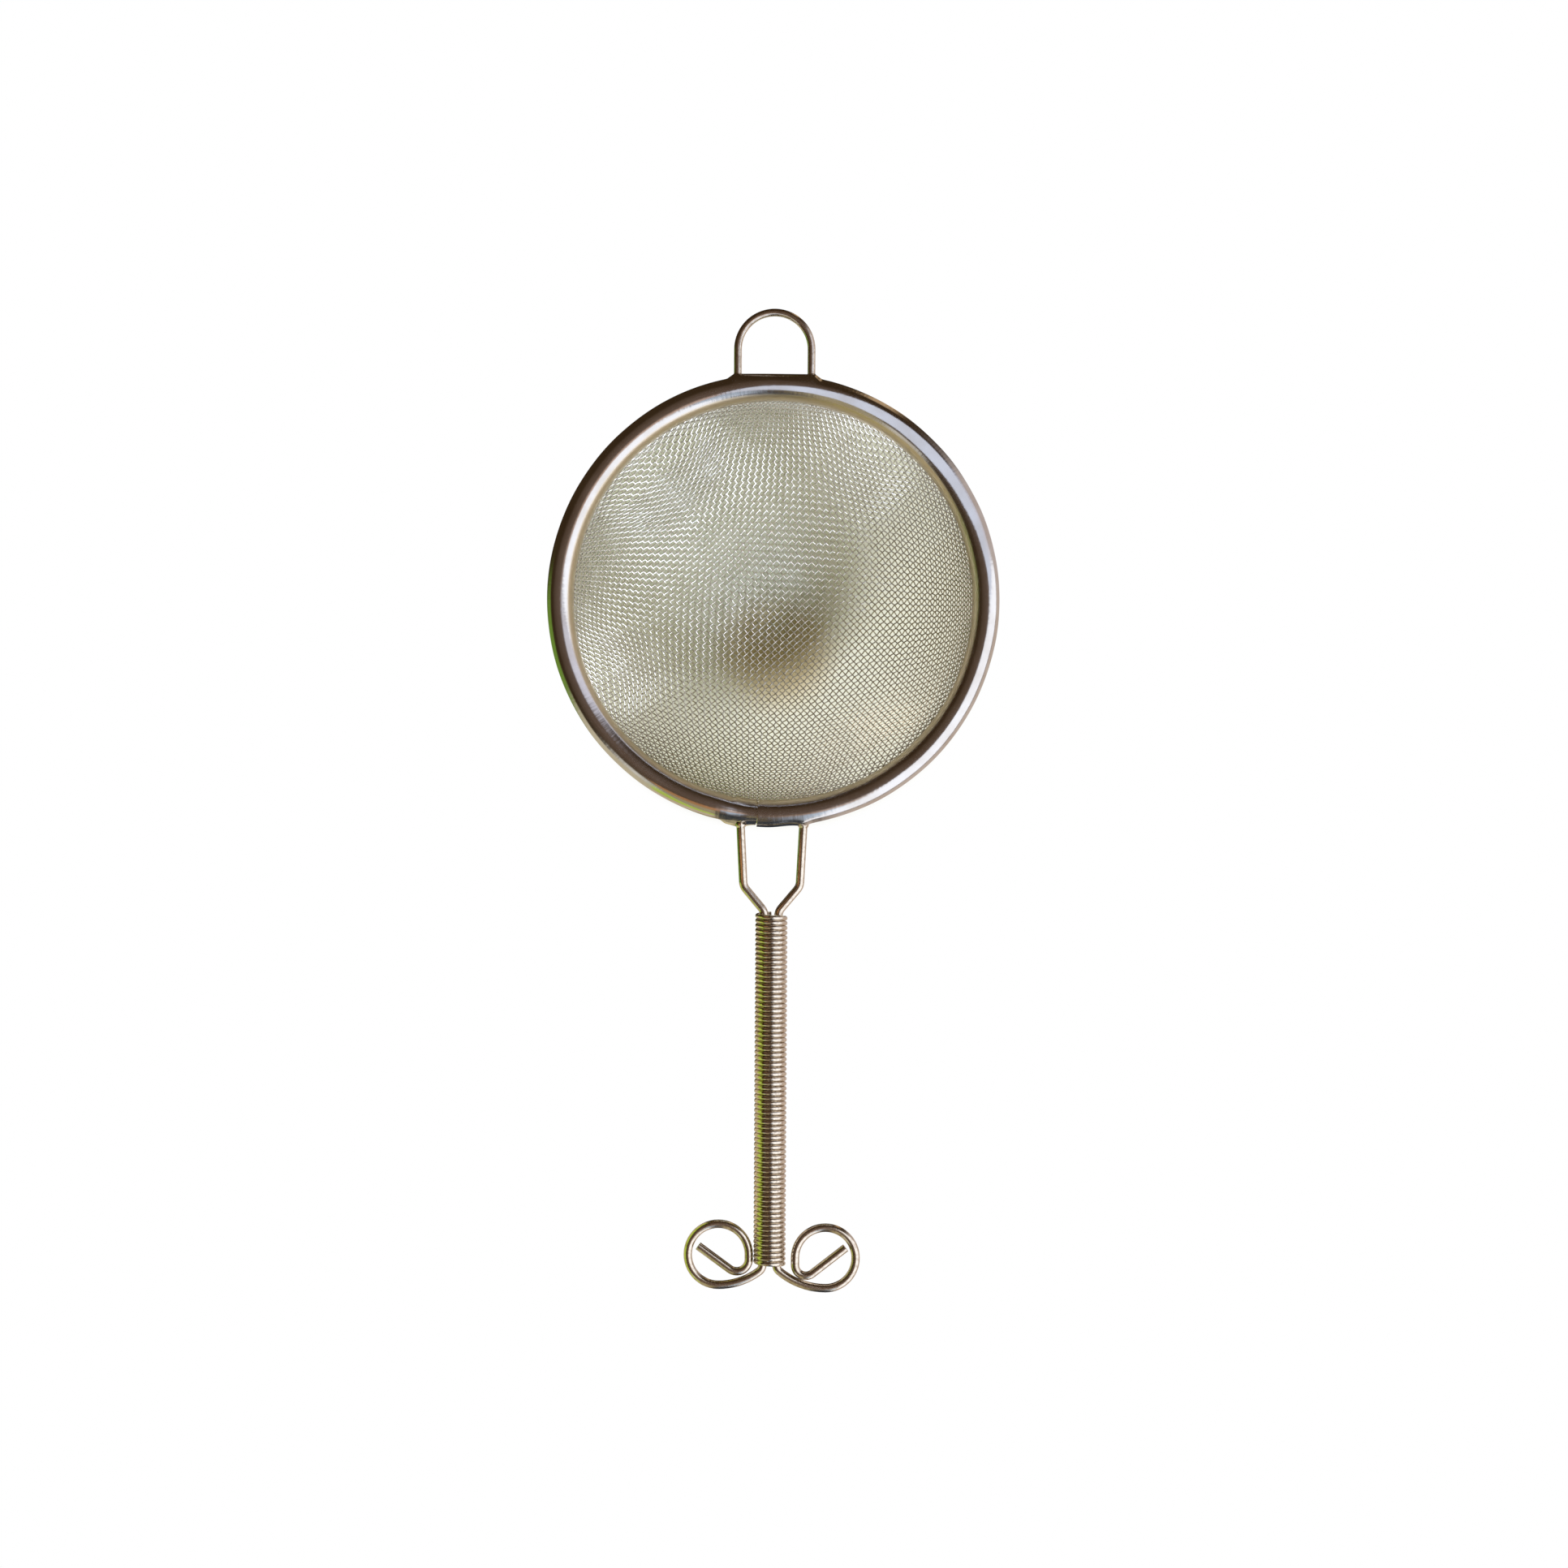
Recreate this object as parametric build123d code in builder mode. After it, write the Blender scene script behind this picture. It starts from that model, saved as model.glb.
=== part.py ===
"""Fine-mesh cocktail strainer with a coil-wound wire handle.

A woven-wire bowl hangs in a rolled sheet rim. A wire loop on the far side rests on a glass. Two
handle wires run from the rim through a close-wound coil and end in flat scrolls.

Frame, in millimetres: the origin is on the bowl's axis, in the plane of the rim's flat underside.
+Z points up out of the mouth, and the handle runs towards -Y.
"""

import os
from math import asin, atan, cos, degrees, radians, sin, sqrt

from build123d import *

os.makedirs("parts", exist_ok=True)

# Driving dimensions
rim_outer_radius = 44.0
rim_width = 5.4
rim_height = 5.0
rim_apex_radius = 41.7
sheet = 0.45
fit_gap = 0.03

bowl_crown_radius = 38.7
bowl_shoulder_radius = 54.0
bowl_crown_angle = 58.5
bowl_clamp_angle = 75.0
cloth_thickness = 0.56
cloth_hem_height = 1.8

handle_wire_diameter = 1.65
loop_wire_diameter = 1.5
hem_to_wire_gap = 0.05
wire_plane = sheet + hem_to_wire_gap + handle_wire_diameter / 2
wire_foot_y = 40.2
weld_bead_radius = 1.1
notch_depth = 1.8
notch_reach = 2.2

loop_bend_radius = 7.18
loop_centre_y = 48.95

leg_half_gap_at_rim = 6.1
leg_half_gap_at_bend = 5.5
leg_bend_y = 55.7
leg_bend_radius = 2.4
wire_half_gap_in_coil = 1.36
coil_mouth_bend_y = 60.65

coil_start_y = 60.75
coil_end_y = 129.9
coil_outer_diameter = 6.3
coil_wire_diameter = 0.93
coil_turns = 72

scroll_exit_y = 129.5
scroll_exit_radius = 1.6

# Each scroll: which side, its ring's centre and radius, its inner turn, and its tail.
scrolls = {
    "handle_wire_left": {
        "side": -1, "centre": (9.97, 127.5), "ring": 5.95,
        "inner_run": 0.95, "inner_radius": 2.35, "tail_turn": 126.0, "tail": 7.6,
    },
    "handle_wire_right": {
        "side": 1, "centre": (10.9, 128.1), "ring": 5.9,
        "inner_run": 1.4, "inner_radius": 2.1, "tail_turn": 128.0, "tail": 8.2,
    },
}

# The rolled rim. Its section is one closed roll of sheet: an inner skirt, a crown of two arcs that
# falls more gently into the bowl than outwards, an outer flank, and a flat hem whose edge presses
# the cloth against the skirt.
inner_crown_radius = rim_apex_radius - (rim_outer_radius - rim_width) - sheet / 2
outer_crown_radius = rim_outer_radius - rim_apex_radius - sheet / 2
inner_crown_z = rim_height - sheet / 2 - inner_crown_radius
outer_crown_z = rim_height - sheet / 2 - outer_crown_radius
skirt_slant = 0.25
hem_bend_radius = 0.675
hem_edge_r = 39.5
seam_x = -3.0
seam_angle = 270 + degrees(asin(seam_x / rim_outer_radius))
seam_gap_angle = 0.3
lap_gap = 0.02
tongue_root_angle = 7.5
tongue_angle = 14.0
tongue_joggle_angle = 2.0
tongue_inner_edge = 155

skirt_top = (rim_apex_radius - inner_crown_radius, inner_crown_z)
skirt_foot = (skirt_top[0] - skirt_slant, sheet / 2)
flank_top = (rim_apex_radius + outer_crown_radius, outer_crown_z)
flank_foot = (flank_top[0], sheet / 2 + hem_bend_radius)
hem_start = (flank_top[0] - hem_bend_radius, sheet / 2)
hem_edge = (hem_edge_r + sheet / 2, sheet / 2)


def crown(inset, first_angle):
    """The crown's two arcs from the bowl's side outwards, drawn inset from the sheet's middle."""
    CenterArc((rim_apex_radius, inner_crown_z), inner_crown_radius - inset,
              first_angle, 90 - first_angle)
    CenterArc((rim_apex_radius, outer_crown_z), outer_crown_radius - inset, 90, -90)


def leg_half_gap(distance):
    """Half the gap between the two handle legs, at a distance from the bowl's axis."""
    slope = (leg_half_gap_at_rim - leg_half_gap_at_bend) / (leg_bend_y - rim_outer_radius)
    return leg_half_gap_at_rim - slope * (distance - rim_outer_radius)


flank_mid_y = sqrt((rim_outer_radius - sheet / 2) ** 2 - leg_half_gap_at_rim**2)
notches = [
    (side * loop_bend_radius, 1, loop_wire_diameter) for side in (-1, 1)
] + [
    (side * leg_half_gap(flank_mid_y), -1, handle_wire_diameter) for side in (-1, 1)
]

with BuildPart() as rim_band:
    # the strip, rolled to its section and bent into a ring that stops just short of its own start
    with BuildSketch(Plane.XZ.rotated((0, 0, seam_angle + seam_gap_angle / 2))):
        with BuildLine():
            Line(skirt_foot, skirt_top)
            crown(0, 180)
            Line(flank_top, flank_foot)
            RadiusArc(flank_foot, hem_start, hem_bend_radius)
            Line(hem_start, hem_edge)
            offset(amount=sheet / 2, side=Side.BOTH, kind=Kind.TANGENT)
        make_face()
    revolve(axis=Axis.Z, revolution_arc=360 - seam_gap_angle)

    # the lap: a tongue on the left end, stepped down and tucked under the right end's crown
    step_down = sheet + lap_gap
    for inset, thickness, arc in (
        (step_down, sheet, tongue_angle),
        (step_down / 2, step_down + sheet, tongue_joggle_angle),
    ):
        with BuildSketch(Plane.XZ.rotated((0, 0, seam_angle - tongue_root_angle))):
            with BuildLine():
                crown(inset, tongue_inner_edge)
                offset(amount=thickness / 2, side=Side.BOTH, kind=Kind.TANGENT)
            make_face()
        revolve(axis=Axis.Z, revolution_arc=arc)

    # notches in the outer flank, where the four wires go into the roll
    for x, towards, diameter in notches:
        notch_half_width = diameter / 2 + fit_gap
        with BuildSketch(Plane.XZ.offset(-towards * (rim_outer_radius - notch_depth))):
            with Locations((x, wire_plane)):
                Circle(notch_half_width)
            with Locations((x, wire_plane / 2)):
                Rectangle(2 * notch_half_width, wire_plane)
        extrude(amount=-towards * notch_reach, mode=Mode.SUBTRACT)
rim_band.part.label = "rim_band"
export_step(rim_band.part, "parts/rim_band.step")

# The bowl of wire cloth: a spherical crown, a flatter shoulder, and a hem inside the roll.
crown_angle = radians(bowl_crown_angle)
clamp_angle = radians(bowl_clamp_angle)
shoulder_start_r = bowl_crown_radius * sin(crown_angle)
shoulder_height = bowl_shoulder_radius * (cos(crown_angle) - cos(clamp_angle))
clamp_r = shoulder_start_r + bowl_shoulder_radius * (sin(clamp_angle) - sin(crown_angle))
bowl_depth = bowl_crown_radius * (1 - cos(crown_angle)) + shoulder_height
hem_lean = skirt_slant / (inner_crown_z - sheet / 2) * cloth_hem_height


def cloth_offset_point(angle, radius, centre_r, centre_z, away):
    """A point on the bowl's profile where its slope is angle, moved outwards by away."""
    return (centre_r + (radius + away) * sin(angle), centre_z - (radius + away) * cos(angle))


crown_centre = (0, -bowl_depth + bowl_crown_radius)
shoulder_centre = (
    shoulder_start_r - bowl_shoulder_radius * sin(crown_angle),
    bowl_shoulder_radius * cos(crown_angle) - shoulder_height,
)

with BuildPart() as mesh_bowl:
    with BuildSketch(Plane.XZ):
        with BuildLine():
            edges = {}
            for face, away in (("inner", -cloth_thickness / 2), ("outer", cloth_thickness / 2)):
                bottom = (0, crown_centre[1] - bowl_crown_radius - away)
                mid_crown = cloth_offset_point(crown_angle / 2, bowl_crown_radius, *crown_centre, away)
                crown_end = cloth_offset_point(crown_angle, bowl_crown_radius, *crown_centre, away)
                mid_angle = (crown_angle + clamp_angle) / 2
                mid_shoulder = cloth_offset_point(
                    mid_angle, bowl_shoulder_radius, *shoulder_centre, away
                )
                shoulder_end = (clamp_r + away / sin(clamp_angle), 0)
                hem_top = (shoulder_end[0] + hem_lean, cloth_hem_height)
                ThreePointArc(bottom, mid_crown, crown_end)
                ThreePointArc(crown_end, mid_shoulder, shoulder_end)
                Line(shoulder_end, hem_top)
                edges[face] = (bottom, hem_top)
            Line(edges["inner"][0], edges["outer"][0])
            Line(edges["inner"][1], edges["outer"][1])
        make_face()
    revolve(axis=Axis.Z)
mesh_bowl.part.label = "mesh_bowl"
export_step(mesh_bowl.part, "parts/mesh_bowl.step")

# The rest loop: one bent wire with a small weld bead where each end goes into the rim.
loop_flank_y = sqrt(rim_outer_radius**2 - loop_bend_radius**2)
with BuildPart() as rest_loop:
    for side in (-1, 1):
        with Locations((side * loop_bend_radius, loop_flank_y, wire_plane)):
            Sphere(weld_bead_radius)
    Cylinder(rim_outer_radius + fit_gap, 4 * rim_height, mode=Mode.SUBTRACT)
    with BuildLine(Plane.XY.offset(wire_plane)) as loop_path:
        left_leg = Line((-loop_bend_radius, wire_foot_y), (-loop_bend_radius, loop_centre_y))
        bend = JernArc(left_leg @ 1, left_leg % 1, loop_bend_radius, -180)
        Line(bend @ 1, (loop_bend_radius, wire_foot_y))
    with BuildSketch(Plane(origin=left_leg @ 0, z_dir=left_leg % 0)):
        Circle(loop_wire_diameter / 2)
    sweep(path=loop_path.wires()[0])
rest_loop.part.label = "rest_loop"
export_step(rest_loop.part, "parts/rest_loop.step")

# The two handle wires: foot in the rim, leg, shoulder, run through the coil, scroll and tail.
for name, scroll in scrolls.items():
    side = scroll["side"]
    ring_x, ring_y = scroll["centre"]
    leg = [
        (side * leg_half_gap(wire_foot_y), -wire_foot_y),
        (side * leg_half_gap_at_bend, -leg_bend_y),
        (side * wire_half_gap_in_coil, -coil_mouth_bend_y),
        (side * wire_half_gap_in_coil, -scroll_exit_y),
    ]
    # A tight bend out of the coil and one wide arc meet the ring at its lowest point.
    across = ring_x - wire_half_gap_in_coil - scroll_exit_radius
    down = ring_y + scroll["ring"] - scroll_exit_y - scroll_exit_radius
    exit_turn = 90 - 2 * degrees(atan(down / across))
    sweep_radius = across / cos(radians(exit_turn)) + scroll_exit_radius

    with BuildPart() as handle_wire:
        bead_y = -sqrt(rim_outer_radius**2 - leg_half_gap_at_rim**2)
        with Locations((side * leg_half_gap_at_rim, bead_y, wire_plane)):
            Sphere(weld_bead_radius)
        Cylinder(rim_outer_radius + fit_gap, 4 * rim_height, mode=Mode.SUBTRACT)
        with BuildLine(Plane.XY.offset(wire_plane)) as wire_path:
            straight = FilletPolyline(*leg, radius=leg_bend_radius)
            exit_bend = JernArc((straight @ 1), (0, -1), scroll_exit_radius, side * exit_turn)
            wide = JernArc(exit_bend @ 1, exit_bend % 1, sweep_radius, side * (90 - exit_turn))
            ring = JernArc(wide @ 1, wide % 1, scroll["ring"], side * 270)
            inner_end = ring @ 1 + (ring % 1) * scroll["inner_run"]
            inner_run = Line(ring @ 1, inner_end)
            turn = JernArc(inner_run @ 1, inner_run % 1, scroll["inner_radius"],
                           side * scroll["tail_turn"])
            Line(turn @ 1, turn @ 1 + (turn % 1) * scroll["tail"])
        wire_route = wire_path.wires()[0]
        with BuildSketch(Plane(origin=wire_route @ 0, z_dir=wire_route % 0)):
            Circle(handle_wire_diameter / 2)
        sweep(path=wire_route)
    handle_wire.part.label = name
    export_step(handle_wire.part, f"parts/{name}.step")

# The coil: one thin wire wound left-handed and close round both handle wires.
coil_radius = (coil_outer_diameter - coil_wire_diameter) / 2
coil_travel = coil_end_y - coil_start_y - coil_wire_diameter
coil_pitch = coil_travel / coil_turns
coil_top = Vector(0, -(coil_start_y + coil_wire_diameter / 2), wire_plane)
with BuildPart() as coil_grip:
    with BuildLine() as coil_path:
        winding = Helix(coil_pitch, coil_travel, coil_radius, center=coil_top,
                        direction=(0, -1, 0), lefthand=True)
    with BuildSketch(Plane(origin=winding @ 0, z_dir=winding % 0)):
        Circle(coil_wire_diameter / 2)
    sweep(path=winding, is_frenet=True)
coil_grip.part.label = "coil_grip"
export_step(coil_grip.part, "parts/coil_grip.step")
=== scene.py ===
"""Looks of the fine-mesh cocktail strainer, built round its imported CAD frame.

The woven cloth and the rolled rim replace their plain CAD nodes. The loop, the two handle wires and
the coil are the CAD's own shapes with a material each. Then come the floor, the surroundings that
the steel reflects, the lamps and the camera.

Lengths are millimetres, and MM turns them into metres, unless a name ends in _M or they go into a
node or a camera setting, which take metres. Compass directions are degrees from +X towards +Y.
"""

import math

import bpy
import numpy as np
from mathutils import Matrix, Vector


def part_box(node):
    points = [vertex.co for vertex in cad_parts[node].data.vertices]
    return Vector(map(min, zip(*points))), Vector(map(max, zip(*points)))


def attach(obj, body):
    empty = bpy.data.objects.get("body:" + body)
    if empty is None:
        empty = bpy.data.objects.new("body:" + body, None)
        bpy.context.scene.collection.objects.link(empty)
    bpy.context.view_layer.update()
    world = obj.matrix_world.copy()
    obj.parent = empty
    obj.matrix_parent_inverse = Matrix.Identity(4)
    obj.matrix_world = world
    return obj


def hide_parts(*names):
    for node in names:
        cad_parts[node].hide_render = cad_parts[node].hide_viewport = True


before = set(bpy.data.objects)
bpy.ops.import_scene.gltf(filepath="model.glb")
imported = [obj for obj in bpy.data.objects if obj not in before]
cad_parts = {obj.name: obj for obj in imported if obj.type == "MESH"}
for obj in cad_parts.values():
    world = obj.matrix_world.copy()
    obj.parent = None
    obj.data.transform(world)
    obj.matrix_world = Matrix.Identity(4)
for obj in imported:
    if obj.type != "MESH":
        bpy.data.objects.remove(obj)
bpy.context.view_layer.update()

MM = 0.001
rng = np.random.default_rng(748)


# ---------------------------------------------------------------- mesh helpers
def make_piece(name, verts, faces, material, smooth=True):
    """A mesh object from points in millimetres. It rides the only body."""
    mesh = bpy.data.meshes.new(name)
    mesh.from_pydata((np.asarray(verts) * MM).tolist(), [], faces)
    mesh.validate()
    mesh.polygons.foreach_set("use_smooth", [smooth] * len(mesh.polygons))
    mesh.materials.append(material)
    piece = bpy.data.objects.new(name, mesh)
    bpy.context.scene.collection.objects.link(piece)
    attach(piece, "root")
    return piece


def unit(v):
    return v / np.linalg.norm(v, axis=-1, keepdims=True)


def tube(path, ups, radius, sides):
    """Points and faces of a closed tube round a path. ups are rough side directions, one per point."""
    count = len(path)
    along = unit(np.gradient(path, axis=0))
    up = unit(ups - (ups * along).sum(-1, keepdims=True) * along)
    across = np.cross(along, up)
    turn = np.arange(sides) * 2 * math.pi / sides
    ring = np.cos(turn)[None, :, None] * up[:, None] + np.sin(turn)[None, :, None] * across[:, None]
    radii = np.broadcast_to(radius, (count,))[:, None, None]
    verts = (path[:, None] + radii * ring).reshape(-1, 3)
    i = np.arange(count - 1)[:, None] * sides
    k = np.arange(sides)[None, :]
    nxt = (k + 1) % sides
    faces = np.stack([i + k, i + nxt, i + sides + nxt, i + sides + k], -1).reshape(-1, 4).tolist()
    faces.append(list(range(sides))[::-1])
    faces.append(list(range((count - 1) * sides, count * sides)))
    return verts, faces


class Gather:
    """Collects several closed shells into one mesh."""

    def __init__(self):
        self.verts, self.faces, self.count = [], [], 0

    def add(self, verts, faces):
        self.verts.append(verts)
        self.faces.extend([[v + self.count for v in f] for f in faces])
        self.count += len(verts)

    def piece(self, name, material):
        return make_piece(name, np.concatenate(self.verts), self.faces, material)


# ---------------------------------------------------------------- materials
def node_tools(tree):
    """Short helpers for one node tree: a node by type, a link or a value, maths, a smooth step, a mix."""

    def node(kind, **settings):
        n = tree.nodes.new(kind)
        for key, value in settings.items():
            setattr(n, key, value)
        return n

    def feed(value, socket):
        if isinstance(value, bpy.types.NodeSocket):
            tree.links.new(value, socket)
        else:
            socket.default_value = value

    def maths(operation, a, b=0.0, c=0.0, clamp=False):
        n = node("ShaderNodeMath", operation=operation, use_clamp=clamp)
        feed(a, n.inputs[0])
        feed(b, n.inputs[1])
        feed(c, n.inputs[2])
        return n.outputs[0]

    def step(value, low, high):
        n = node("ShaderNodeMapRange", interpolation_type="SMOOTHSTEP")
        for socket, v in (("Value", value), ("From Min", low), ("From Max", high)):
            feed(v, n.inputs[socket])
        return n.outputs["Result"]

    def mix(factor, a, b):
        n = node("ShaderNodeMix", data_type="RGBA")
        feed(factor, n.inputs[0])
        feed(a, n.inputs[6])
        feed(b, n.inputs[7])
        return n.outputs[2]

    return node, feed, maths, step, mix


def noise_texture(tree, vector, scale, detail):
    n = tree.nodes.new("ShaderNodeTexNoise")
    tree.links.new(vector, n.inputs["Vector"])
    n.inputs["Scale"].default_value = scale
    n.inputs["Detail"].default_value = detail
    return n.outputs["Fac"]


def add_bump(tree, shader, height, strength, distance_m):
    n = tree.nodes.new("ShaderNodeBump")
    n.inputs["Strength"].default_value = strength
    n.inputs["Distance"].default_value = distance_m
    tree.links.new(height, n.inputs["Height"])
    tree.links.new(n.outputs["Normal"], shader.inputs["Normal"])


def metal(name, colour, roughness):
    """A metal material with its colour and roughness on the shader's own sockets."""
    material = bpy.data.materials.new(name)
    material.use_nodes = True
    shader = material.node_tree.nodes["Principled BSDF"]
    shader.inputs["Metallic"].default_value = 1.0
    shader.inputs["Base Color"].default_value = (*colour, 1)
    shader.inputs["Roughness"].default_value = roughness
    return material, shader


def rim_material():
    material, shader = metal("polished_rim", (0.74, 0.71, 0.68), 0.16)
    tree = material.node_tree
    node, feed, maths, step, mix = node_tools(tree)
    where = node("ShaderNodeTexCoord").outputs["Object"]
    # fine polishing lines run round the rim
    xyz = node("ShaderNodeSeparateXYZ")
    feed(where, xyz.inputs[0])
    radius = maths("SQRT", maths("ADD", maths("MULTIPLY", xyz.outputs[0], xyz.outputs[0]),
                                 maths("MULTIPLY", xyz.outputs[1], xyz.outputs[1])))
    angle = maths("ARCTAN2", xyz.outputs[1], xyz.outputs[0])
    polar = node("ShaderNodeCombineXYZ")
    feed(maths("MULTIPLY", radius, 9000.0), polar.inputs[0])
    feed(maths("MULTIPLY", angle, 14.0), polar.inputs[1])
    feed(maths("MULTIPLY", xyz.outputs[2], 9000.0), polar.inputs[2])
    lines = noise_texture(tree, polar.outputs[0], 1.0, 3.0)
    # the wire cloth under the sheet prints through as faint cross ripples
    cross = node("ShaderNodeCombineXYZ")
    feed(maths("MULTIPLY", angle, 62.0), cross.inputs[0])
    feed(maths("MULTIPLY", radius, 300.0), cross.inputs[1])
    ripple = noise_texture(tree, cross.outputs[0], 1.0, 1.0)
    stain = noise_texture(tree, where, 160.0, 4.0)
    # painted reflection: the inner lip is tinted straw to stand in for the khaki cloth and floor it
    # reflects, and it is also duller
    lip_painted_reflection_and_dullness = step(radius, 0.0402, 0.0396)
    skin = mix(step(stain, 0.35, 0.75), (0.76, 0.74, 0.71, 1), (0.66, 0.62, 0.57, 1))
    # the hem beside the seam is dull from the spot weld over it
    weld = maths("MULTIPLY", step(xyz.outputs[2], 0.0016, 0.0009), step(xyz.outputs[1], 0.0, -0.01))
    weld = maths("MULTIPLY", weld, step(xyz.outputs[0], -0.0125, -0.0105))
    weld = maths("MULTIPLY", weld, step(xyz.outputs[0], -0.0020, -0.0032))
    feed(mix(weld, mix(lip_painted_reflection_and_dullness, skin, (0.74, 0.62, 0.42, 1)), (0.70, 0.60, 0.38, 1)),
         shader.inputs["Base Color"])
    feed(maths("SUBTRACT", 1.0, maths("MULTIPLY", weld, 0.55)), shader.inputs["Metallic"])
    feed(maths("ADD", maths("ADD", maths("MULTIPLY", lip_painted_reflection_and_dullness, 0.18), maths("MULTIPLY", weld, 0.3)),
               maths("ADD", 0.10, maths("MULTIPLY", lines, 0.14))),
         shader.inputs["Roughness"])
    add_bump(tree, shader, maths("ADD", maths("MULTIPLY", lines, 0.25), ripple), 0.25, 0.00006)
    return material


def wire_material(name, scale, roughness):
    """Drawn wire: a warm steel, a little darker and duller in small spots."""
    material, shader = metal(name, (0.79, 0.72, 0.62), roughness)
    tree = material.node_tree
    node, feed, maths, step, mix = node_tools(tree)
    spots = noise_texture(tree, node("ShaderNodeTexCoord").outputs["Object"], scale, 5.0)
    feed(mix(step(spots, 0.4, 0.75), (0.82, 0.74, 0.62, 1), (0.60, 0.50, 0.39, 1)),
         shader.inputs["Base Color"])
    feed(maths("ADD", roughness - 0.06, maths("MULTIPLY", spots, 0.16)), shader.inputs["Roughness"])
    add_bump(tree, shader, spots, 0.2, 0.00005)
    return material


rim_steel = rim_material()
bright_wire = wire_material("bright_wire", 1400.0, 0.18)
coil_wire = wire_material("coil_wire", 2200.0, 0.16)


def cloth_material():
    """Dull drawn wire: only its roughness and bump come from nodes, because its pieces are dense."""
    material, shader = metal("cloth_wire", (0.70, 0.66, 0.55), 0.28)
    shader.inputs["Metallic"].default_value = 0.96
    tree = material.node_tree
    node, feed, maths, step, mix = node_tools(tree)
    where = node("ShaderNodeTexCoord").outputs["Object"]
    grain = noise_texture(tree, where, 5200.0, 3.0)
    dull = noise_texture(tree, where, 240.0, 3.0)
    feed(maths("ADD", maths("MULTIPLY", step(dull, 0.35, 0.7), 0.08),
               maths("ADD", 0.17, maths("MULTIPLY", grain, 0.12))),
         shader.inputs["Roughness"])
    add_bump(tree, shader, grain, 0.3, 0.00001)
    return material


cloth_wire = cloth_material()

# ---------------------------------------------------------------- the wire cloth
# The bowl's profile by length from its bottom: a round crown, a flatter shoulder, and the hem.
CROWN_R, CROWN_ANGLE = 38.7, math.radians(58.5)
SHOULDER_R, CLAMP_ANGLE = 54.0, math.radians(75.0)
CROWN_LENGTH = CROWN_R * CROWN_ANGLE
SHOULDER_LENGTH = SHOULDER_R * (CLAMP_ANGLE - CROWN_ANGLE)
CLOTH_THICKNESS = 0.56
FLOOR_Z = (Vector(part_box("mesh_bowl")[0]) / MM).z
BOTTOM_Z = FLOOR_Z + CLOTH_THICKNESS / 2
HEM_REACH = 1.1
S_END = CROWN_LENGTH + SHOULDER_LENGTH + HEM_REACH

WARP_ANGLE = math.radians(41.8)
PITCH = 1.035
WIRE_R = 0.14
WIRE_SIDES = 6
WEAVE = 0.145          # how far a wire's middle swings to each side of the cloth's
WANDER = 0.035         # how far wires sit off their even spacing
NET = 56               # wires on each side of the middle one
SAMPLES = 4            # points along a wire for each cell
# Where the cloth kept a flatter corner: compass centre, half width, soft edge, how far it is pulled in.
CORNERS = ((55, 11, 6, 2.2), (131, 18, 7, 2.6), (204, 11, 6, 2.0), (303, 13, 8, 1.6))


def profile(s):
    """Radius, height and slope of the cloth's middle at a length s from its bottom."""
    a = np.clip(s, 0, CROWN_LENGTH) / CROWN_R
    b = CROWN_ANGLE + np.clip(s - CROWN_LENGTH, 0, SHOULDER_LENGTH) / SHOULDER_R
    rest = np.clip(s - CROWN_LENGTH - SHOULDER_LENGTH, 0, None)
    r = CROWN_R * np.sin(a) + SHOULDER_R * (np.sin(b) - math.sin(CROWN_ANGLE)) + rest * 0.14
    z = CROWN_R * (1 - np.cos(a)) + SHOULDER_R * (math.cos(CROWN_ANGLE) - np.cos(b)) + rest * 0.99
    slope = np.where(s < CROWN_LENGTH, a, b)
    return r, BOTTOM_Z + z, slope


def on_bowl(s, turn):
    r, z, _ = profile(s)
    return np.stack([r * np.cos(turn), r * np.sin(turn), z], -1)


def chebyshev_quadrant(n):
    """The net of one quadrant: lengths s and turns of each crossing, all neighbours PITCH apart."""
    s = np.zeros((n, n))
    turn = np.zeros((n, n))
    s[:, 0] = s[0, :] = np.arange(n) * PITCH
    turn[0, 1:] = math.pi / 2
    for total in range(2, 2 * n - 1):
        i = np.arange(max(1, total - n + 1), min(n, total))
        j = total - i
        a = on_bowl(s[i - 1, j], turn[i - 1, j])
        b = on_bowl(s[i, j - 1], turn[i, j - 1])
        c = on_bowl(s[i - 1, j - 1], turn[i - 1, j - 1])
        guess = a + b - c
        gs = s[i - 1, j] + s[i, j - 1] - s[i - 1, j - 1]
        gt = np.arctan2(guess[:, 1], guess[:, 0])
        if total == 2:
            gs = np.full(1, PITCH * math.sqrt(2))
        for _ in range(12):
            h = 1e-4
            p = on_bowl(gs, gt)
            ps = (on_bowl(gs + h, gt) - p) / h
            pt = (on_bowl(gs, gt + h) - p) / h
            fa = ((p - a) ** 2).sum(-1) - PITCH**2
            fb = ((p - b) ** 2).sum(-1) - PITCH**2
            m11, m12 = 2 * ((p - a) * ps).sum(-1), 2 * ((p - a) * pt).sum(-1)
            m21, m22 = 2 * ((p - b) * ps).sum(-1), 2 * ((p - b) * pt).sum(-1)
            det = m11 * m22 - m12 * m21
            det = np.where(np.abs(det) < 1e-9, 1e-9, det)
            ds = np.clip((fa * m22 - fb * m12) / det, -0.3, 0.3)
            dt = np.clip((fb * m11 - fa * m21) / det, -0.05, 0.05)
            gs, gt = gs - ds, gt - dt
        s[i, j], turn[i, j] = gs, gt
    return s, turn


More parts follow.
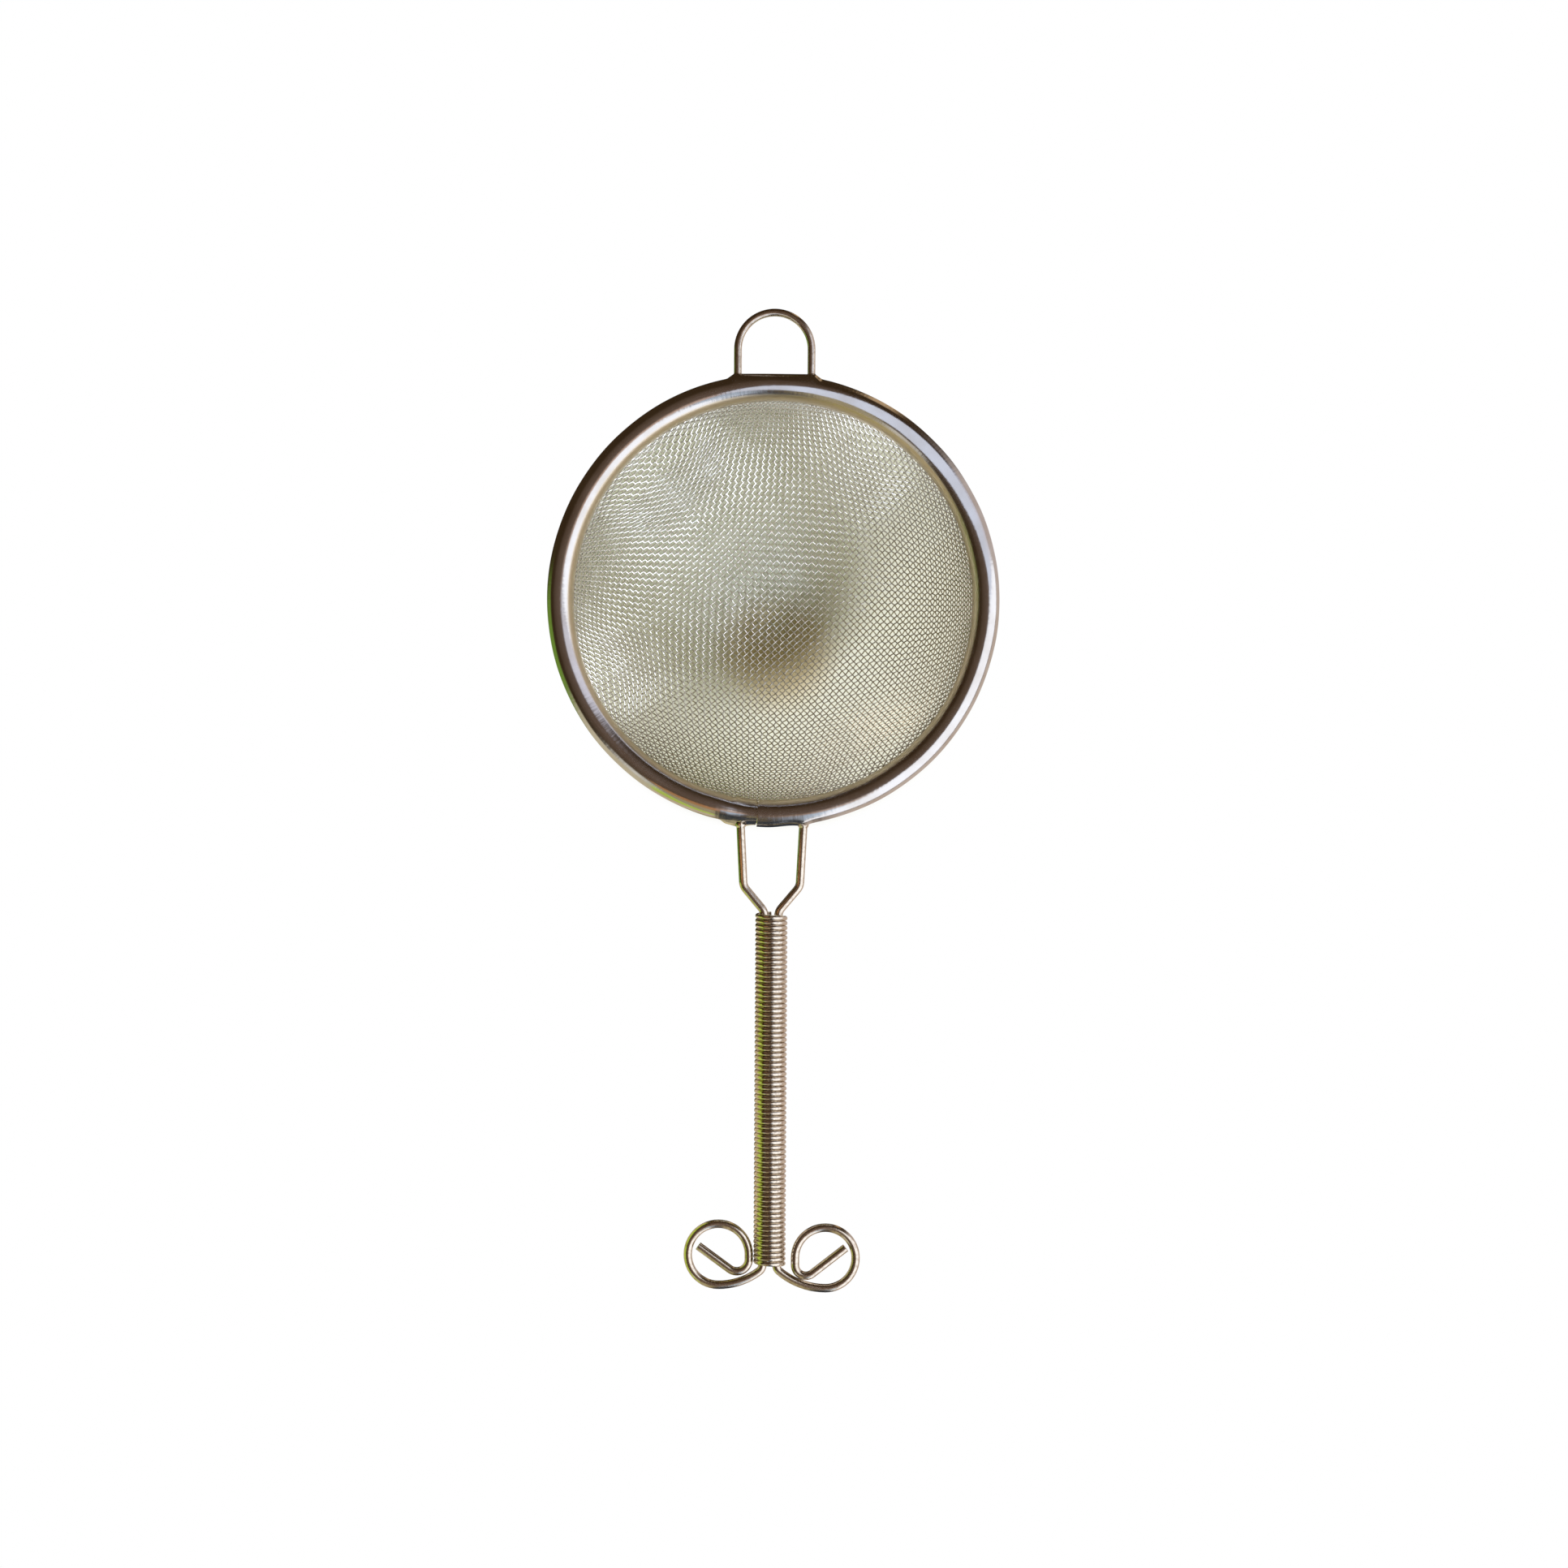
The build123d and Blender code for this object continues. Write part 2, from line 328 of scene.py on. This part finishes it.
def full_net():
    """The net of the whole bowl, with wire numbers from -NET to NET each way."""
    s, turn = chebyshev_quadrant(NET + 1)
    size = 2 * NET + 1
    all_s = np.zeros((size, size))
    all_turn = np.zeros((size, size))
    for sign_i in (1, -1):
        for sign_j in (1, -1):
            ii = NET + sign_i * np.arange(NET + 1)
            jj = NET + sign_j * np.arange(NET + 1)
            x, y = np.cos(turn) * sign_i, np.sin(turn) * sign_j
            all_s[np.ix_(ii, jj)] = s
            all_turn[np.ix_(ii, jj)] = np.arctan2(y, x)
    return all_s, all_turn


def smooth_noise(rows, columns, width):
    """Random values that drift slowly along each row."""
    raw = rng.normal(size=(rows, columns + 8 * width))
    kernel = np.exp(-0.5 * (np.arange(-3 * width, 3 * width + 1) / width) ** 2)
    kernel /= np.sqrt((kernel**2).sum())
    return np.stack([np.convolve(row, kernel, "same")[4 * width:4 * width + columns] for row in raw])


def bowl_normal(s, turn):
    """The cloth's direction towards the inside of the bowl."""
    slope = profile(s)[2]
    return np.stack([-np.sin(slope) * np.cos(turn), -np.sin(slope) * np.sin(turn), np.cos(slope)], -1)


def ease(x, low, high):
    t = np.clip((x - low) / (high - low), 0, 1)
    return t * t * (3 - 2 * t)


def pinch(s, turn):
    """How far the cloth is pulled in at its flatter corners."""
    r = profile(s)[0]
    depth = np.zeros_like(r)
    for centre, half_width, soft, amount in CORNERS:
        off = np.abs((np.degrees(turn) - centre + 180) % 360 - 180)
        depth += amount * ease(off, half_width + soft, half_width - soft)
    return depth * ease(r, 22, 34) * ease(r, 39.2, 35.8)


net_s, net_turn = full_net()
net_turn = net_turn + WARP_ANGLE
net_normals = bowl_normal(net_s, net_turn)
net_points = on_bowl(net_s, net_turn) + net_normals * pinch(net_s, net_turn)[..., None]
wires = 2 * NET + 1

shift_i = WANDER * smooth_noise(wires, wires, 6) / PITCH
shift_j = WANDER * smooth_noise(wires, wires, 6).T / PITCH
step_i = np.gradient(net_points, axis=0)
step_j = np.gradient(net_points, axis=1)
crossings = net_points + shift_i[..., None] * step_i + shift_j[..., None] * step_j


def cloth_wire_path(line, normals, s_line, parity):
    """A woven wire through one line of crossings, trimmed where the cloth ends."""
    inside = np.flatnonzero(s_line <= S_END)
    if len(inside) < 4:
        return None
    first, last = inside[0], inside[-1]
    pts, nrm = line[first:last + 1], normals[first:last + 1]
    t = np.arange(0, len(pts) - 1 + 1e-9, 1.0 / SAMPLES)
    k = np.minimum(t.astype(int), len(pts) - 2)
    u = (t - k)[:, None]
    padded = np.concatenate([[2 * pts[0] - pts[1]], pts, [2 * pts[-1] - pts[-2]]])
    p0, p1, p2, p3 = (padded[k + n] for n in range(4))
    mid = 0.5 * (2 * p1 + (p2 - p0) * u + (2 * p0 - 5 * p1 + 4 * p2 - p3) * u**2
                 + (3 * p1 - p0 - 3 * p2 + p3) * u**3)
    up = unit(nrm[k] * (1 - u) + nrm[k + 1] * u)
    wave = np.cos(math.pi * (t + first + parity))[:, None]
    return mid + up * WEAVE * wave, up


def weave_family(name, transpose, parts):
    """All the wires that run one way, shared out among a few pieces of cloth."""
    points = crossings.transpose(1, 0, 2) if transpose else crossings
    normals = net_normals.transpose(1, 0, 2) if transpose else net_normals
    lengths = net_s.T if transpose else net_s
    paths = []
    for row in range(wires):
        found = cloth_wire_path(points[row], normals[row], lengths[row], row + transpose)
        if found:
            paths.append(found)
    total = sum(len(p) for p, _ in paths)
    made, gather, used, part = [], Gather(), 0, 1
    for path, up in paths:
        gather.add(*tube(path, up, WIRE_R, WIRE_SIDES))
        used += len(path)
        if used >= total * part / parts:
            made.append(gather.piece(f"cloth_{name}_{part}", cloth_wire))
            gather, part = Gather(), part + 1
    return made


cloth = weave_family("warp", 0, 3) + weave_family("weft", 1, 3)
for piece in cloth:
    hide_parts("mesh_bowl")

# ---------------------------------------------------------------- the rolled rim
rim_high = Vector(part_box("rim_band")[1]) / MM
RIM_OUT, RIM_TOP = rim_high.x, rim_high.z
APEX_R = 41.7
CROWN_IN, CROWN_IN_END = 2.75, 170           # the crown's inner arc: radius, and the angle it ends at
SKIRT_FOOT_R, SKIRT_FOOT_Z = 38.86, 1.3
SHEET = 0.45
HEM_EDGE_R = 39.5
HEM_BEND = 0.9
SEAM_X = -3.0
SEAM_DEG = math.degrees(math.asin(-SEAM_X / RIM_OUT))
LAP_DEG = 2.4                                # how far the left end goes on inside the right end
TUCK, TUCK_X, TUCK_RUN = 0.6, -8.4, 3.8      # how far the left end is drawn in, where, and over what run
HEM_BULGE, END_BULGE = 0.6, 0.22
LEG_X, LEG_FLARE = 6.1, 0.3                  # the handle wires' places, and the sheet's flare over them
FOOT_FLARE_DEG = 9.9                         # half the flare over the loop's feet
LIP_BUMP = 0.55


def arc(cx, cz, radius, start, end, count):
    turn = np.radians(np.linspace(start, end, count))
    return np.stack([cx + radius * np.cos(turn), cz + radius * np.sin(turn)], -1)


def rim_section(tuck=0.0):
    """The roll's outline, from the skirt's foot over the crown to the hem's edge, and back inside."""
    def skin(inset):
        inner, outer = CROWN_IN - inset, RIM_OUT - APEX_R - inset
        top = RIM_TOP - inset
        bend = max(HEM_BEND - inset, 0.05)
        return np.concatenate([
            [[SKIRT_FOOT_R + inset, SKIRT_FOOT_Z + tuck]],
            arc(APEX_R, top - inner, inner, CROWN_IN_END, 90, 14),
            arc(APEX_R, top - outer, outer, 90, 0, 11)[1:],
            arc(RIM_OUT - inset - bend, inset + bend, bend, 0, -90, 5),
            [[HEM_EDGE_R, inset]],
        ])
    return np.concatenate([skin(tuck), skin(tuck + SHEET)[::-1]])


def angles(*runs):
    """Angles in degrees, in runs of (end, step) one after the other from the first number."""
    found, at = [np.array([runs[0]])], runs[0]
    for end, spacing in runs[1:]:
        found.append(np.linspace(at, end, max(2, round(abs(end - at) / spacing) + 1))[1:])
        at = end
    return np.concatenate(found)


def slow_waves(turn, count, size):
    """A gentle closed wander round the rim, as a hand-finished roll has."""
    wave = np.zeros_like(turn)
    for k in range(2, count):
        wave += rng.normal() * np.cos(k * turn + rng.uniform(0, 2 * math.pi)) / k**0.5
    return size * wave


def ring_point(r, z, turn):
    return np.stack([r * np.cos(turn), r * np.sin(turn), np.broadcast_to(z, np.shape(r))], -1)


# The sweep starts at the right end's free edge and ends where the left end stops inside it.
theta_deg = angles(-90 - SEAM_DEG, (-78, 0.12), (76, 0.4), (104, 0.2), (256, 0.4),
                   (270 - SEAM_DEG + LAP_DEG, 0.12))
SEGMENTS = len(theta_deg) - 1
theta = np.radians(theta_deg)[:, None]
plain, tucked = rim_section(), rim_section(TUCK)
n = len(plain)
across_x = RIM_OUT * np.cos(theta)
low_side = np.sin(theta) < 0
left_end = (theta_deg > 180)[:, None]

# the left end is drawn in, except for its hem, until it passes inside the right end
drawn_in = left_end * ease(across_x, TUCK_X - TUCK_RUN, TUCK_X + TUCK_RUN)
in_lap = left_end * ease(across_x, SEAM_X - 0.35, SEAM_X + 0.1)
weight = drawn_in * np.maximum(ease(plain[None, :, 1], 0.7, 1.5), in_lap)
rows = plain[None, :, 0] * (1 - weight) + tucked[None, :, 0] * weight
heights = plain[None, :, 1] * (1 - weight) + tucked[None, :, 1] * weight

# outer flank: the sheet stands out where wires go into it
flank = ease(rows, 42.6, 43.8)
off_top = np.abs(np.degrees(theta) - 90)
chord = RIM_OUT / np.cos(np.radians(np.minimum(off_top, FOOT_FLARE_DEG))) - RIM_OUT
rows = rows + flank * chord * ease(off_top, FOOT_FLARE_DEG + 2.6, FOOT_FLARE_DEG)
for leg_x in (-LEG_X, LEG_X):
    rows = rows + flank * low_side * LEG_FLARE * np.exp(-0.5 * ((across_x - leg_x) / 1.0) ** 2)

# beside the seam the left end's hem stands out under its drawn-in flank, and the right end is fuller
hem = (1 - ease(heights, 0.6, 1.2)) * ease(rows, 42.3, 43.3) * left_end * (1 - in_lap)
rows = rows + hem * HEM_BULGE * ease(across_x, -10.6, -8.8) * ease(across_x, SEAM_X, -8.0)
rows = rows + flank * (1 - left_end) * low_side * END_BULGE * ease(across_x, 3.5, -1.0)

# inner lip: pushed towards the bowl beside the seam
lip = (1 - ease(rows, 38.9, 40.3)) * left_end * (1 - in_lap)
rows = rows - lip * LIP_BUMP * ease(across_x, -8.6, -7.2) * ease(across_x, SEAM_X + 0.3, SEAM_X - 0.9)

# the roll wanders a little everywhere
fade = np.sin(np.clip((theta_deg + 90 + SEAM_DEG) / 360, 0, 1) * math.pi)[:, None] ** 0.25
rows = rows + fade * ease(rows, 38.4, 39.6) * slow_waves(theta, 26, 0.022)
heights = heights + fade * ease(heights, 1.5, 4.5) * slow_waves(theta, 30, 0.016)

rim_verts = ring_point(rows, heights, theta).reshape(-1, 3)
i = np.arange(SEGMENTS)[:, None] * n
k = np.arange(n)[None, :]
nxt = (k + 1) % n
rim_faces = np.stack([i + k, i + n + k, i + n + nxt, i + nxt], -1).reshape(-1, 4).tolist()
half = n // 2
for base, flip in ((0, False), (SEGMENTS * n, True)):
    for q in range(half - 1):
        quad = [base + q, base + q + 1, base + n - 2 - q, base + n - 1 - q]
        rim_faces.append(quad[::-1] if flip else quad)
rim = make_piece("rim_roll", rim_verts, rim_faces, rim_steel)
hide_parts("rim_band")

for node_name, material in (("rest_loop", bright_wire), ("handle_wire_left", bright_wire),
                            ("handle_wire_right", bright_wire), ("coil_grip", coil_wire)):
    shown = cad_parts[node_name]
    shown.data.materials.clear()
    shown.data.materials.append(material)

# ---------------------------------------------------------------- floor, light and camera
FLOOR_R = 4000.0
UNDER_R = 42.0                               # the part of the floor under the bowl
FLOOR_SIDES = 96
WHITE_FROM_M, WHITE_BEYOND_M = 0.0405, 0.0462
# the painted brown shade round the bowl's resting point: its centre in metres, and where its soft edge
# starts and ends
PAINTED_SHADE_AT_M, PAINTED_SHADE_IN_M, PAINTED_SHADE_OUT_M = (0.0005, -0.0085, 0.0), 0.0060, 0.0150

paper = bpy.data.materials.new("paper")
paper.use_nodes = True
node, feed, maths, step, mix = node_tools(paper.node_tree)
paper_shader = paper.node_tree.nodes["Principled BSDF"]
paper_shader.inputs["Roughness"].default_value = 0.9
paper_shader.inputs["Specular IOR Level"].default_value = 0.0
# away from the bowl the paper is overexposed to a plain white
white = node("ShaderNodeEmission")
feed((1.0, 1.0, 1.0, 1), white.inputs["Color"])
flat = node("ShaderNodeVectorMath", operation="MULTIPLY")
feed(node("ShaderNodeNewGeometry").outputs["Position"], flat.inputs[0])
feed((1.0, 1.0, 0.0), flat.inputs[1])
reach = node("ShaderNodeVectorMath", operation="LENGTH")
feed(flat.outputs[0], reach.inputs[0])
# painted shade: where the bowl rests, the paper's colour is painted a darker brown, standing in for the
# warm shade between paper and bowl
off_contact = node("ShaderNodeVectorMath", operation="DISTANCE")
feed(flat.outputs[0], off_contact.inputs[0])
feed(PAINTED_SHADE_AT_M, off_contact.inputs[1])
painted_contact_shade = step(off_contact.outputs["Value"], PAINTED_SHADE_OUT_M, PAINTED_SHADE_IN_M)
feed(mix(painted_contact_shade, (0.84, 0.86, 0.81, 1), (0.70, 0.61, 0.43, 1)), paper_shader.inputs["Base Color"])
exposed = node("ShaderNodeMixShader")
feed(step(reach.outputs["Value"], WHITE_FROM_M, WHITE_BEYOND_M), exposed.inputs[0])
paper.node_tree.links.new(paper_shader.outputs[0], exposed.inputs[1])
paper.node_tree.links.new(white.outputs[0], exposed.inputs[2])
paper_out = next(n for n in paper.node_tree.nodes if n.type == "OUTPUT_MATERIAL")
paper.node_tree.links.new(exposed.outputs[0], paper_out.inputs["Surface"])
paper.cycles.emission_sampling = "NONE"


def floor_part(name, verts, faces):
    """A stage piece of paper, from points in millimetres."""
    mesh = bpy.data.meshes.new(name)
    mesh.from_pydata((np.asarray(verts) * MM).tolist(), [], faces)
    mesh.materials.append(paper)
    part = bpy.data.objects.new(name, mesh)
    bpy.context.scene.collection.objects.link(part)
    return part


turns = np.linspace(0, 2 * math.pi, FLOOR_SIDES, endpoint=False)
disc = ring_point(np.full(FLOOR_SIDES, UNDER_R), FLOOR_Z, turns)
far = disc * (FLOOR_R / UNDER_R, FLOOR_R / UNDER_R, 1)
floor_under = floor_part("floor_under", disc, [list(range(FLOOR_SIDES))])
outer_floor = floor_part("floor", np.concatenate([disc, far]),
                         [[q, q + FLOOR_SIDES, (q + 1) % FLOOR_SIDES + FLOOR_SIDES, (q + 1) % FLOOR_SIDES]
                          for q in range(FLOOR_SIDES)])
outer_floor.visible_glossy = False

world = bpy.data.worlds.new("studio")
bpy.context.scene.world = world
world.use_nodes = True
world.cycles.sampling_method = "NONE"
tree = world.node_tree
tree.nodes.clear()
node, feed, maths, step, mix = node_tools(tree)
xyz = node("ShaderNodeSeparateXYZ")
feed(node("ShaderNodeTexCoord").outputs["Generated"], xyz.inputs[0])
DEG = math.pi / 180
compass = maths("DIVIDE", maths("ARCTAN2", xyz.outputs[1], xyz.outputs[0]), DEG)
from_top = maths("DIVIDE", maths("ARCCOSINE", xyz.outputs[2]), DEG)


def off_compass(centre):
    """Degrees round from a compass direction, either way."""
    turn = maths("MULTIPLY", maths("SUBTRACT", compass, centre), DEG)
    return maths("DIVIDE", maths("ARCCOSINE", maths("COSINE", turn)), DEG)


PATCH_FADE = 6.0


def patch(under, colour, centre, half_width, soft, near, far):
    """Lays a colour over part of the surroundings, by compass direction and degrees from the top."""
    mask = step(off_compass(centre), half_width + soft, half_width - soft)
    mask = maths("MULTIPLY", mask, step(from_top, near - PATCH_FADE, near + PATCH_FADE))
    mask = maths("MULTIPLY", mask, step(from_top, far + PATCH_FADE, far - PATCH_FADE))
    return mix(mask, under, (*colour, 1))


# what the steel reflects: a dark brown room with coloured patches, each with its compass centre, half
# width and soft edge, and where it starts and ends below the top
seen = mix(step(from_top, 4.0, 30.0), (0.13, 0.088, 0.066, 1), (0.10, 0.066, 0.045, 1))
seen = mix(step(from_top, 30.0, 60.0), seen, (0.045, 0.026, 0.012, 1))
for colour, centre, half_width, soft, near, far in (
    ((0.17, 0.30, 0.045), 190, 17, 8, 84, 200),
    ((0.62, 0.55, 0.40), 225, 20, 6, 80, 200),
    ((0.42, 0.36, 0.22), 250, 12, 6, 35, 200),
    ((0.60, 0.42, 0.33), -42, 42, 12, 14, 30),
    ((0.80, 0.80, 0.94), 24, 14, 8, 20, 75),
    ((0.60, 0.52, 0.50), 20, 22, 10, 75, 200),
    ((0.60, 0.42, 0.25), 64, 4, 3, 88, 200),
    ((0.75, 0.72, 0.65), 229, 7, 5, 50, 82),
    ((0.62, 0.52, 0.46), -35, 42, 10, 92, 200),
    ((0.52, 0.64, 0.82), -76, 8, 4, 26, 66),
    ((0.036, 0.042, 0.053), -89, 10, 3, 62, 200),
):
    seen = patch(seen, colour, centre, half_width, soft, near, far)

# a broad soft dome lights the paper
low = mix(step(off_compass(-50), 75.0, 35.0), (0.36, 0.25, 0.04, 1), (0.85, 0.40, 0.02, 1))
dome = mix(step(from_top, 85.0, 50.0), low, (0.26, 0.26, 0.08, 1))
sky = node("ShaderNodeBackground")
feed(seen, sky.inputs["Color"])
soft_light = node("ShaderNodeBackground")
feed(dome, soft_light.inputs["Color"])
backdrop = node("ShaderNodeBackground")
feed((1.0, 1.0, 1.0, 1), backdrop.inputs["Color"])
rays = node("ShaderNodeLightPath")
by_diffuse = node("ShaderNodeMixShader")
feed(rays.outputs["Is Diffuse Ray"], by_diffuse.inputs[0])
tree.links.new(sky.outputs[0], by_diffuse.inputs[1])
tree.links.new(soft_light.outputs[0], by_diffuse.inputs[2])
by_camera = node("ShaderNodeMixShader")
feed(rays.outputs["Is Camera Ray"], by_camera.inputs[0])
tree.links.new(by_diffuse.outputs[0], by_camera.inputs[1])
tree.links.new(backdrop.outputs[0], by_camera.inputs[2])
out = node("ShaderNodeOutputWorld")
tree.links.new(by_camera.outputs[0], out.inputs["Surface"])


def glow_panel(name, verts, faces, colour, strength):
    """A softbox that only shows in the steel's reflections."""
    material = bpy.data.materials.new(name)
    material.use_nodes = True
    shader = material.node_tree.nodes["Principled BSDF"]
    shader.inputs["Base Color"].default_value = (0, 0, 0, 1)
    shader.inputs["Emission Color"].default_value = (*colour, 1)
    shader.inputs["Emission Strength"].default_value = strength
    material.cycles.emission_sampling = "NONE"
    mesh = bpy.data.meshes.new(name)
    mesh.from_pydata((np.asarray(verts) * MM).tolist(), [], faces)
    mesh.materials.append(material)
    panel = bpy.data.objects.new(name, mesh)
    bpy.context.scene.collection.objects.link(panel)
    panel.visible_camera = panel.visible_diffuse = panel.visible_shadow = False
    panel.visible_transmission = panel.visible_volume_scatter = False


def glow_strip(name, first_edge, second_edge, colour, strength):
    """A panel between two rows of as many points."""
    columns = len(first_edge)
    glow_panel(name, np.concatenate([first_edge, second_edge]),
               [[q, q + 1, q + 1 + columns, q + columns] for q in range(columns - 1)], colour, strength)


# a tall window at the lower right, from a near top edge down to the far horizon: radius and height
WINDOW_TOP, WINDOW_FOOT = (90.0, 275.0), (900.0, 45.0)
window_deg = np.arange(-82, 15)
slide = (0.14 * ease(window_deg, -50, -75) + 0.5 * ease(window_deg, -72, -82)
         + 0.3 * ease(window_deg, 4, 14))
window_turn = np.radians(window_deg)
upper = ring_point(WINDOW_TOP[0] + (WINDOW_FOOT[0] - WINDOW_TOP[0]) * slide,
                   WINDOW_TOP[1] + (WINDOW_FOOT[1] - WINDOW_TOP[1]) * slide, window_turn)
lower = ring_point(np.full(len(window_deg), WINDOW_FOOT[0]), WINDOW_FOOT[1], window_turn)
glow_strip("window_glow", upper, lower, (0.88, 0.91, 1.0), 1.4)

# a small lilac softbox close above the upper right of the rim: compass, inner and outer radius
SOFTBOX_Z = 25.0
softbox = np.array([(2, 48, 54), (10, 45, 64), (20, 40, 72), (32, 32, 72), (45, 25, 72), (60, 26, 60),
                    (75, 25, 47), (90, 24, 40), (104, 31, 36)], float)
bend_deg = np.arange(softbox[0, 0], softbox[-1, 0] + 1, 2.0)
edges = [np.interp(bend_deg, softbox[:, 0], softbox[:, column]) for column in (1, 2)]
near_edge, far_edge = (ring_point(edge, SOFTBOX_Z, np.radians(bend_deg)) for edge in edges)
glow_strip("softbox_glow", near_edge, far_edge, (0.76, 0.82, 1.0), 1.0)

# coloured cards: a green one and a tan one beside the handle, a brown one above its legs
CARD_X, CARD_FAR_Y, CARD_NEAR_Y = -40, -182, -61
for card_name, low, high, colour in (("green_card", -8, 19, (0.46, 0.62, 0.07)),
                                     ("tan_card", -70, -8, (0.60, 0.50, 0.36))):
    glow_panel(card_name, [(CARD_X, CARD_FAR_Y, low), (CARD_X, CARD_NEAR_Y, low),
                           (CARD_X, CARD_NEAR_Y, high), (CARD_X, CARD_FAR_Y, high)],
               [[0, 1, 2, 3]], colour, 1.0)
glow_panel("brown_card", [(-34, -58, 25), (-10, -58, 25), (-10, -47, 25), (-34, -47, 25)],
           [[0, 1, 2, 3]], (0.46, 0.23, 0.10), 1.0)

# the window light that comes in low from the lower right and throws the bowl's shadow. Its glare
# shows on the cloth only: the smooth steel has the window's own reflection instead.
KEY_COMPASS = math.radians(-50)
KEY_DISTANCE_M, KEY_WIDTH_M = 1.5, 1.2


def window_light(name, radiance, colour, things, elevation=38.0, height_m=0.62, glossy=True):
    """A rectangular light at the window's place that lights only the given things."""
    data = bpy.data.lights.new(name, "AREA")
    data.shape = "RECTANGLE"
    data.size, data.size_y = KEY_WIDTH_M, height_m
    data.energy = radiance * math.pi * KEY_WIDTH_M * height_m
    data.color = colour
    light = bpy.data.objects.new(name, data)
    up = math.radians(elevation)
    towards = Vector((math.cos(KEY_COMPASS) * math.cos(up), math.sin(KEY_COMPASS) * math.cos(up),
                      math.sin(up)))
    light.location = towards * KEY_DISTANCE_M
    light.rotation_euler = towards.to_track_quat("Z", "Y").to_euler()
    light.visible_camera = False
    light.visible_glossy = glossy
    bpy.context.scene.collection.objects.link(light)
    lit = bpy.data.collections.new(f"lit_by_{name}")
    for thing in things:
        lit.objects.link(thing)
    light.light_linking.receiver_collection = lit
    return light


# round the bowl's resting point no window light comes through to the paper, so its shade is warm
SHADE_X, SHADE_Y, SHADE_R, SHADE_SOFT = 7.5, -14.0, 14.5, 2.2
SHADE_LIFT = 0.6                             # above the cloth's middle
SHADE_RINGS, SHADE_SIDES, SHADE_REACH = 60, 72, 33.0
shade_r, shade_z, _ = profile(np.linspace(0.0, SHADE_REACH, SHADE_RINGS))
shade_turn = np.linspace(0, 2 * math.pi, SHADE_SIDES, endpoint=False)
shade_verts = ring_point(shade_r[:, None] * np.ones(SHADE_SIDES), shade_z[:, None] + SHADE_LIFT,
                         shade_turn[None, :])
from_middle = np.hypot(shade_verts[..., 0] - SHADE_X, shade_verts[..., 1] - SHADE_Y)
in_shade = from_middle + rng.normal(size=from_middle.shape) * SHADE_SOFT < SHADE_R
corner = np.arange(SHADE_RINGS * SHADE_SIDES).reshape(SHADE_RINGS, SHADE_SIDES)
shade_faces = [[int(corner[a, b]), int(corner[a, (b + 1) % SHADE_SIDES]),
                int(corner[a + 1, (b + 1) % SHADE_SIDES]), int(corner[a + 1, b])]
               for a in range(1, SHADE_RINGS - 1) for b in range(SHADE_SIDES) if in_shade[a, b]]
shade = floor_part("bowl_shade", shade_verts.reshape(-1, 3), shade_faces)
shade.visible_camera = shade.visible_diffuse = shade.visible_glossy = False
shade.visible_transmission = shade.visible_volume_scatter = False

window_light("window_on_paper", 12.5, (0.94, 0.96, 1.0), [floor_under, outer_floor, rim], glossy=False)
# the wires that cross the near wall turn their warm side to the camera and catch less of it
near_wall = [piece for piece in cloth if piece.name == "cloth_weft_1"]
other_walls = [piece for piece in cloth if piece not in near_wall]
on_cloth = [
    window_light("window_on_cloth", 31.0, (0.63, 0.72, 1.0), other_walls,
                 elevation=40.5, height_m=0.66),
    window_light("window_on_near_wall", 15.0, (1.0, 0.86, 0.68), near_wall,
                 elevation=40.5, height_m=0.66)]
# the shade is left out of what blocks these two
unshaded = bpy.data.collections.new("unshaded")
unshaded.objects.link(shade)
unshaded.collection_objects[0].light_linking.link_state = "EXCLUDE"
for light in on_cloth:
    light.light_linking.blocker_collection = unshaded

# the camera looks straight down, as the photograph does
CAMERA_HEIGHT_M = 0.600
CAMERA_X_M, CAMERA_Y_M = 0.00230, -0.03576
CAMERA_TURN_DEG = 0.34
FRAME_WIDTH_M = 0.30634                      # what the frame spans at the origin's height
SENSOR_MM = 36.0
camera_data = bpy.data.cameras.new("camera")
camera_data.sensor_width = SENSOR_MM
camera_data.lens = SENSOR_MM * CAMERA_HEIGHT_M / FRAME_WIDTH_M
camera_data.clip_start, camera_data.clip_end = 0.01, 20.0
camera = bpy.data.objects.new("camera", camera_data)
camera.location = (CAMERA_X_M, CAMERA_Y_M, CAMERA_HEIGHT_M)
camera.rotation_euler = (0, 0, math.radians(CAMERA_TURN_DEG))
bpy.context.scene.collection.objects.link(camera)
bpy.context.scene.camera = camera
bpy.context.scene.view_settings.view_transform = "Standard"
